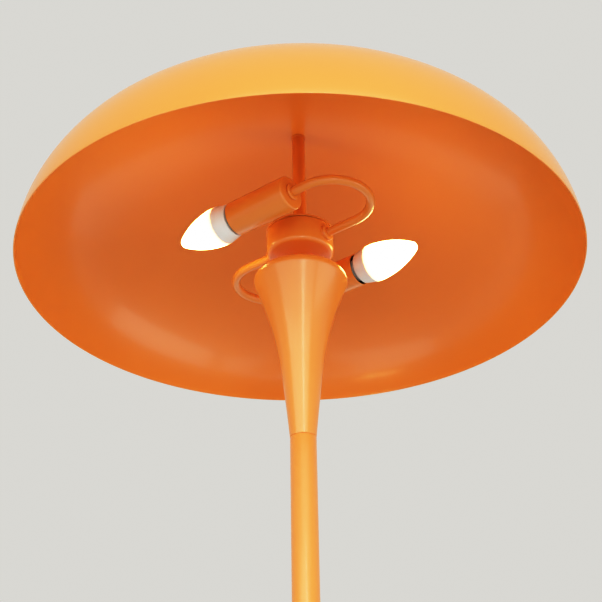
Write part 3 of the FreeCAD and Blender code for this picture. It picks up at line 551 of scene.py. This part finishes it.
TRUMPET_WALL = 1.4 * MM
TRUMPET_SHOULDER = 6.5 * MM
TOP_LEAN, MIDDLE_LEAN, FOOT_LEAN = radians(23), radians(7.2), radians(5.7)
SEAM_EDGE = 0.45 * MM


def make_trumpet():
    """The hollow flare: a flat top, a round shoulder, and two long arcs that run down into the stem."""
    foot, top = STEM.span("trumpet")
    wide = STEM.widest("trumpet")
    stem = STEM.widest("stem_upper_tube")
    centre = wide - TRUMPET_SHOULDER
    end_across = centre + TRUMPET_SHOULDER * cos(TOP_LEAN)
    end_along = top - TRUMPET_SHOULDER - TRUMPET_SHOULDER * sin(TOP_LEAN)
    # the two flare radii that carry the outline from the shoulder's end to the stem
    in_a, in_b = cos(MIDDLE_LEAN) - cos(TOP_LEAN), cos(FOOT_LEAN) - cos(MIDDLE_LEAN)
    down_a, down_b = sin(TOP_LEAN) - sin(MIDDLE_LEAN), sin(MIDDLE_LEAN) - sin(FOOT_LEAN)
    inward, downward = end_across - stem, end_along - foot
    scale = in_a * down_b - in_b * down_a
    upper = (inward * down_b - in_b * downward) / scale
    lower = (in_a * downward - down_a * inward) / scale
    meet_across = end_across - upper * in_a
    meet_along = end_along - upper * down_a
    wall = TRUMPET_WALL
    thin = TRUMPET_SHOULDER - wall
    inner_meet = meet_across - wall * cos(MIDDLE_LEAN), meet_along + wall * sin(MIDDLE_LEAN)
    inner_end = centre + thin * cos(TOP_LEAN), top - TRUMPET_SHOULDER - thin * sin(TOP_LEAN)
    section = Outline(ROD_HOLE, top).line(centre, top)
    section.arc(end_across, end_along, -TRUMPET_SHOULDER, steps=14)
    section.arc(meet_across, meet_along, upper, steps=28)
    section.arc(stem, foot, lower, steps=20, edge=SEAM_EDGE).line(stem - wall, foot)
    section.arc(*inner_meet, -lower - wall, steps=20).arc(*inner_end, -upper - wall, steps=28)
    section.arc(centre, top - wall, thin, steps=14).line(ROD_HOLE, top - wall).close()
    dress("trumpet_shell", section.turned(144), "trumpet", STEM)


make_trumpet()

STEM_BORE = 9.5 * MM
for word in ("upper", "lower"):
    ring(f"{word}_stem", f"stem_{word}_tube", STEM_BORE, edge=SEAM_EDGE)

# ---- base ----

BASE_WALL = 1.2 * MM
BASE_SIDE = 12 * MM
BASE_EDGE = 6 * MM
BASE_RISE = 24 * MM
BASE_LAND = 18 * MM
COLLAR_TOP = 12.6 * MM
COLLAR_LIP = 2.5 * MM
COLLAR_SWEEP = 14 * MM


def make_base():
    """The pressed cover, nearly flat on top with a round shoulder, and the stem's foot collar."""
    skirt, land = STEM.span("base_cover")
    wide = STEM.widest("base_cover")
    side_centre = wide - BASE_EDGE
    climb = BASE_RISE - BASE_SIDE
    crown = (side_centre**2 + climb**2 - BASE_EDGE**2) / (2 * (climb - BASE_EDGE))
    meet_cos = side_centre / (crown - BASE_EDGE)
    meet_sin = sqrt(1 - meet_cos**2)

    def meet(wall):
        bend = BASE_EDGE - wall
        return side_centre + bend * meet_cos, BASE_SIDE + bend * meet_sin

    section = Outline(ROD_HOLE, land).line(BASE_LAND, land).arc(*meet(0), -crown, steps=30)
    section.arc(wide, BASE_SIDE, -BASE_EDGE, steps=12).line(wide, skirt, 0.5 * MM)
    section.line(wide - BASE_WALL, skirt, 0.4 * MM).line(wide - BASE_WALL, BASE_SIDE)
    section.arc(*meet(BASE_WALL), BASE_EDGE - BASE_WALL, steps=12)
    section.arc(BASE_LAND, land - BASE_WALL, crown - BASE_WALL, steps=30)
    section.line(ROD_HOLE, land - BASE_WALL).close()
    dress("pressed_base", section.turned(192), "base_cover", STEM)

    foot, top = STEM.span("foot_collar")
    collar_wide = STEM.widest("foot_collar")
    bore = STEM.widest("stem_lower_tube") + FIT
    lip = foot + COLLAR_LIP
    collar = Outline(bore, foot).line(collar_wide, foot, 0.4 * MM).line(collar_wide, lip, 0.5 * MM)
    collar.arc(COLLAR_TOP, top, COLLAR_SWEEP, steps=10, edge=0.3 * MM).line(bore, top).close()
    dress("stem_foot_collar", collar.turned(96), "foot_collar", STEM)


make_base()

GROMMET_BORE = 3.2 * MM
GROMMET_NECK = 4.4 * MM
GROMMET_FLANGE = 1.6 * MM


def make_grommet():
    """The rubber ring that lines the cord's hole, with a flange on each side of the cover's wall."""
    middle = box_middle("cord_grommet")
    line = Line((0, 0, middle.z), (0, 1, 0))
    inner, outer = line.span("cord_grommet")
    wide = line.widest("cord_grommet")
    soft = 0.5 * MM
    neck_start, neck_end = inner + GROMMET_FLANGE, outer - GROMMET_FLANGE
    section = Outline(GROMMET_BORE, inner).line(wide, inner, soft).line(wide, neck_start, soft)
    section.line(GROMMET_NECK, neck_start).line(GROMMET_NECK, neck_end)
    section.line(wide, neck_end, soft).line(wide, outer, soft).line(GROMMET_BORE, outer, soft).close()
    dress("rubber_grommet", section.turned(48), "cord_grommet", line)


make_grommet()

# ---- arms ----

ARM_WALL = 1 * MM
ARM_RETURN_END = 30 * MM
ARM_SIDES = 40
BEND_STEPS = 64
FERRULE_EDGE = 0.8 * MM
FERRULE_CLEARANCE = 0.05 * MM
ARM_HOLE = 4.1 * MM


def make_arm(word):
    """The bent tube: out of the hub, half a turn round, and back over the hub into the lampholder."""
    holder = HOLDERS[word]
    out = -holder.heading
    level = holder.point.z
    hub = Line((0, 0, level), out)
    node = f"{word}_arm"
    start, reach = hub.span(node)
    tube = (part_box(node)[1].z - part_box(node)[0].z) / 2
    sideways = UP.cross(out)
    spread = (holder.point - hub.point).dot(sideways)
    leg = reach - tube - abs(spread) / 2

    mesh = bmesh.new()
    bmesh.ops.create_circle(mesh, radius=tube, segments=ARM_SIDES)
    bmesh.ops.rotate(mesh, verts=mesh.verts, cent=(0, 0, 0), matrix=Matrix.Rotation(pi / 2, 3, "Y"))
    bmesh.ops.translate(mesh, verts=mesh.verts, vec=(start, 0, 0))

    def run(ring_edges, distance):
        grown = bmesh.ops.extrude_edge_only(mesh, edges=ring_edges)["geom"]
        moved = [part for part in grown if isinstance(part, bmesh.types.BMVert)]
        bmesh.ops.translate(mesh, verts=moved, vec=(distance, 0, 0))
        return [part for part in grown if isinstance(part, bmesh.types.BMEdge) and part.is_boundary]

    end = run(mesh.edges[:], leg - start)
    bent = bmesh.ops.spin(
        mesh, geom=end + list({vertex for edge in end for vertex in edge.verts}),
        cent=(leg, spread / 2, 0), axis=UP, angle=copysign(pi, spread), steps=BEND_STEPS,
    )
    end = [part for part in bent["geom_last"] if isinstance(part, bmesh.types.BMEdge)]
    run(end, ARM_RETURN_END - leg)
    bmesh.ops.recalc_face_normals(mesh, faces=mesh.faces[:])
    bmesh.ops.solidify(mesh, geom=mesh.faces[:], thickness=ARM_WALL)
    turn = Matrix((out, sideways, UP)).transposed().to_4x4()
    mesh.transform(Matrix.Translation(hub.point) @ turn)
    dress(f"{word}_bent_arm", mesh, node)

    # the ferrule on the hub: its foot follows the hub's round side
    hub_wide = STEM.widest("hub_body")
    _, face = hub.span(f"{word}_hub_ferrule")
    wide = hub.widest(f"{word}_hub_ferrule")
    section = Outline(ARM_HOLE, hub_wide).line(wide, hub_wide).line(wide, face, FERRULE_EDGE)
    collar = section.line(ARM_HOLE, face).close().turned(64)
    for vertex in collar.verts:
        if abs(vertex.co.z - hub_wide) < ON_FACE:
            vertex.co.z = sqrt(hub_wide**2 - vertex.co.x**2) + FERRULE_CLEARANCE
    dress(f"{word}_hub_collar", collar, f"{word}_hub_ferrule", hub)
    inward = Line(holder.point, out)
    ring(f"{word}_holder_collar", f"{word}_holder_ferrule", ARM_HOLE, inward, FERRULE_EDGE, 64)


# ---- lampholders ----

HOLDER_WALL = 1 * MM
HOLDER_BACK_WALL = 1.5 * MM
HOLDER_EDGE = 2 * MM
SOCKET_BOSS = 7 * MM
SOCKET_BOSS_LENGTH = 10.5 * MM
SOCKET_FLOOR = 22.6 * MM
SOCKET_ARM_DEPTH = 13.7 * MM
SKIRT_WALL = 1.3 * MM
MOUTH_CLEARANCE = 2 * MM
SHELL_BORE = 7.15 * MM
CAP_PITCH = 2.82 * MM
CAP_THREAD_DEPTH = 0.5 * MM
SHELL_THREAD_DEPTH = 0.12 * MM


def make_holder(word):
    """The coated sleeve, and the black lampholder in it with its brass screw shell."""
    line = HOLDERS[word]
    back, mouth = line.span(f"{word}_holder_sleeve")
    wide = line.widest(f"{word}_holder_sleeve")
    bore = wide - HOLDER_WALL
    inner_edge = HOLDER_EDGE - HOLDER_WALL
    sleeve = Outline(ARM_HOLE, back).line(wide - HOLDER_EDGE, back)
    sleeve.arc(wide, back + HOLDER_EDGE, HOLDER_EDGE)
    sleeve.line(wide, mouth, 0.25 * MM).line(bore, mouth, 0.25 * MM)
    sleeve.line(bore, HOLDER_BACK_WALL + inner_edge)
    sleeve.arc(bore - inner_edge, HOLDER_BACK_WALL, -inner_edge).line(ARM_HOLE, HOLDER_BACK_WALL).close()
    dress(f"{word}_coated_sleeve", sleeve.turned(128), f"{word}_holder_sleeve", line)

    node = f"{word}_lampholder"
    start, front = line.span(node)
    body = line.widest(node)
    seat = line.widest(f"{word}_socket_shell") + FIT
    boss_end = start + SOCKET_BOSS_LENGTH
    mouth = body - SKIRT_WALL
    mouth_floor = line.span(f"{word}_bulb_collar")[0] - MOUTH_CLEARANCE
    socket = Outline(ARM_HOLE, start).line(SOCKET_BOSS, start).line(SOCKET_BOSS, boss_end, 0.5 * MM)
    socket.line(body, boss_end, 1 * MM).line(body, front, 0.4 * MM).line(mouth, front, 0.5 * MM)
    socket.line(mouth, mouth_floor, 0.3 * MM).line(seat, mouth_floor, 0.3 * MM)
    socket.line(seat, SOCKET_FLOOR).line(0, SOCKET_FLOOR).line(0, start + SOCKET_ARM_DEPTH)
    socket.line(ARM_HOLE, start + SOCKET_ARM_DEPTH).close()
    dress(f"{word}_black_socket", socket.turned(96), node, line)

    node = f"{word}_socket_shell"
    first, last = line.span(node)
    rows = round((last - first) / CAP_PITCH * THREAD_ROWS)
    shell = Outline(line.widest(node), first).line(line.widest(node), last).line(SHELL_BORE, last)
    for row in range(1, rows + 1):
        shell.line(SHELL_BORE, last + (first - last) * row / rows)
    mesh = shell.close().turned(64)
    screw_thread(mesh, SHELL_BORE, CAP_PITCH, SHELL_THREAD_DEPTH, first, last)
    dress(f"{word}_screw_shell", mesh, node, line)


# ---- bulbs ----

BULB_TIP = 5.5 * MM
BULB_WALL = 1.2 * MM
COLLAR_FOOT = 9 * MM
COLLAR_NECK = 10.8 * MM
COLLAR_SHOULDER = 14.6 * MM
COLLAR_EDGE = 1 * MM
COLLAR_FLARE_LENGTH = 13.1 * MM
CAP_RADIUS = 6.95 * MM
CAP_FLANGE = 1 * MM
CAP_FOOT = 5.6 * MM


def make_bulb(word):
    """A candle bulb: threaded cap, flared white housing and the pointed opal that glows."""
    line = HOLDERS[word]
    node = f"{word}_bulb_cap"
    foot, seat = line.span(node)
    flange = line.widest(node)
    thread_start = foot + CAP_RADIUS - CAP_FOOT
    thread_end = seat - CAP_FLANGE
    rows = round((thread_end - thread_start) / CAP_PITCH * THREAD_ROWS)
    cap = Outline(0, foot).line(CAP_FOOT, foot).line(CAP_RADIUS, thread_start)
    for row in range(1, rows + 1):
        cap.line(CAP_RADIUS, thread_start + (thread_end - thread_start) * row / rows)
    mesh = cap.line(flange, thread_end, 0.2 * MM).line(flange, seat).line(0, seat).turned(64)
    screw_thread(mesh, CAP_RADIUS, CAP_PITCH, CAP_THREAD_DEPTH, thread_start, thread_end)
    dress(f"{word}_threaded_cap", mesh, node, line)

    node = f"{word}_bulb_collar"
    foot, seam = line.span(node)
    wide = line.widest(node)
    shoulder = seam - COLLAR_FLARE_LENGTH
    housing = Outline(0, foot).line(COLLAR_FOOT, foot, 0.6 * MM).line(COLLAR_NECK, shoulder)
    housing.line(COLLAR_SHOULDER, shoulder, COLLAR_EDGE).line(wide, seam, 0.25 * MM).line(0, seam)
    dress(f"{word}_white_housing", housing.turned(96), node, line)

    node = f"{word}_bulb_diffuser"
    seam, tip = line.span(node)
    tip_centre = tip - BULB_TIP
    length = tip_centre - seam
    side = (length**2 + wide**2 - BULB_TIP**2) / (2 * (wide - BULB_TIP))
    side_cos = length / (side - BULB_TIP)
    side_sin = (side - wide) / (side - BULB_TIP)
    inner_tip = BULB_TIP - BULB_WALL
    opal = Outline(wide - BULB_WALL, seam).line(wide, seam, 0.25 * MM)
    opal.arc(BULB_TIP * side_sin, tip_centre + BULB_TIP * side_cos, side, steps=28)
    opal.arc(0, tip, BULB_TIP, steps=8).line(0, tip - BULB_WALL)
    opal.arc(inner_tip * side_sin, tip_centre + inner_tip * side_cos, -inner_tip, steps=8)
    opal.arc(wide - BULB_WALL, seam, BULB_WALL - side, steps=28)
    dress(f"{word}_opal_glass", opal.turned(96), node, line)


for word in HOLDERS:
    make_arm(word)
    make_holder(word)
    make_bulb(word)

# ---- floor, room, tone, light and camera ----

FLOOR_RADIUS = 2.7
PALE = (0.868, 0.858, 0.812)
DAYLIGHT = (0.91, 1.0, 0.99)


def make_floor():
    """A plain pale floor."""
    mesh = bmesh.new()
    bmesh.ops.create_circle(mesh, cap_ends=True, radius=FLOOR_RADIUS, segments=128)
    data = bpy.data.meshes.new("floor")
    mesh.to_mesh(data)
    mesh.free()
    plain = Finish("pale_floor", {"Roughness": 0.6, "Specular IOR Level": 0.2})
    tone = plain.noise(0.5, detail=2)
    shades = plain.mixed(tone, rgb(0.56, 0.55, 0.53), rgb(0.58, 0.57, 0.55))
    data.materials.append(plain.surface({"Base Color": shades}))
    floor = bpy.data.objects.new("floor", data)
    bpy.context.scene.collection.objects.link(floor)


def make_room():
    """Pale walls and ceiling all round."""
    world = bpy.data.worlds.new("pale_room")
    world.use_nodes = True
    world.node_tree.nodes["Background"].inputs["Color"].default_value = rgb(*PALE)
    bpy.context.scene.world = world


CONTRAST = 1.6
SHOULDER_START = 0.6
BRIGHTEST = 4.0
COMBINED_CURVE = 3
CURVE_POINTS = 18
CURVE_STEP = 0.25


def make_tone():
    """A photograph's tone: deeper darks, and bright parts that flatten out softly towards white."""
    view = bpy.context.scene.view_settings
    view.view_transform = "Standard"
    view.gamma = 1 / CONTRAST
    view.use_curve_mapping = True
    view.curve_mapping.white_level = (BRIGHTEST,) * 3
    view.curve_mapping.extend = "HORIZONTAL"
    curve = view.curve_mapping.curves[COMBINED_CURVE]
    room = 1 - SHOULDER_START
    for step in range(CURVE_POINTS):
        over = room * step * CURVE_STEP
        level = SHOULDER_START + room * (1 - exp(-over / room))
        curve.points.new((SHOULDER_START + over) / BRIGHTEST, level)
    for point in curve.points:
        point.handle_type = "VECTOR"
    view.curve_mapping.update()


def soft_light(name, place, width, height, radiance):
    """A light that faces the shade, as bright as a surface of that radiance, and is in no view."""
    data = bpy.data.lights.new(name, "AREA")
    data.shape = "RECTANGLE"
    data.size, data.size_y = width, height
    data.energy = pi * width * height * radiance
    data.color = DAYLIGHT
    light = bpy.data.objects.new(name, data)
    bpy.context.scene.collection.objects.link(light)
    target = Vector((0, 0, STEM.span("shade")[0]))
    light.location = place
    light.rotation_euler = (Vector(place) - target).to_track_quat("Z", "Y").to_euler()
    light.visible_camera = False


CAMERA_PLACE = Vector((0, -0.908, -0.559))
CAMERA_PITCH = 30.51
CAMERA_ROLL = -0.97
CAMERA_LENS = 71.76


def make_camera():
    """Below the rim and close in front, looking up into the shade."""
    data = bpy.data.cameras.new("camera")
    data.sensor_width = 36
    data.lens = CAMERA_LENS
    camera = bpy.data.objects.new("camera", data)
    bpy.context.scene.collection.objects.link(camera)
    rim_centre = Vector((0, 0, STEM.span("shade")[0]))
    pitch = Matrix.Rotation(radians(90 + CAMERA_PITCH), 4, "X")
    tilt = pitch @ Matrix.Rotation(radians(CAMERA_ROLL), 4, "Z")
    camera.matrix_world = Matrix.Translation(rim_centre + CAMERA_PLACE) @ tilt
    bpy.context.scene.camera = camera


make_floor()
make_room()
make_tone()
soft_light("front_window_low", (-0.6, -2.8, 0.7), 6.4, 1.4, 1.6)
soft_light("front_window_high", (-0.6, -2.8, 1.9), 6.4, 1.0, 2.9)
soft_light("front_bright_pane", (0.35, -2.8, 1.3), 0.35, 2.4, 5.6)
soft_light("front_skylight", (0.5, -2.8, 3.3), 4.0, 1.6, 1.2)
soft_light("right_window", (2.9, -1.2, 0.7), 3.0, 1.4, 2.1)
soft_light("back_window", (0.0, 3.2, 0.6), 6.0, 1.2, 0.2)
soft_light("sunlit_floor", (0.2, 1.7, 0.03), 3.0, 2.2, 0.5)
make_camera()
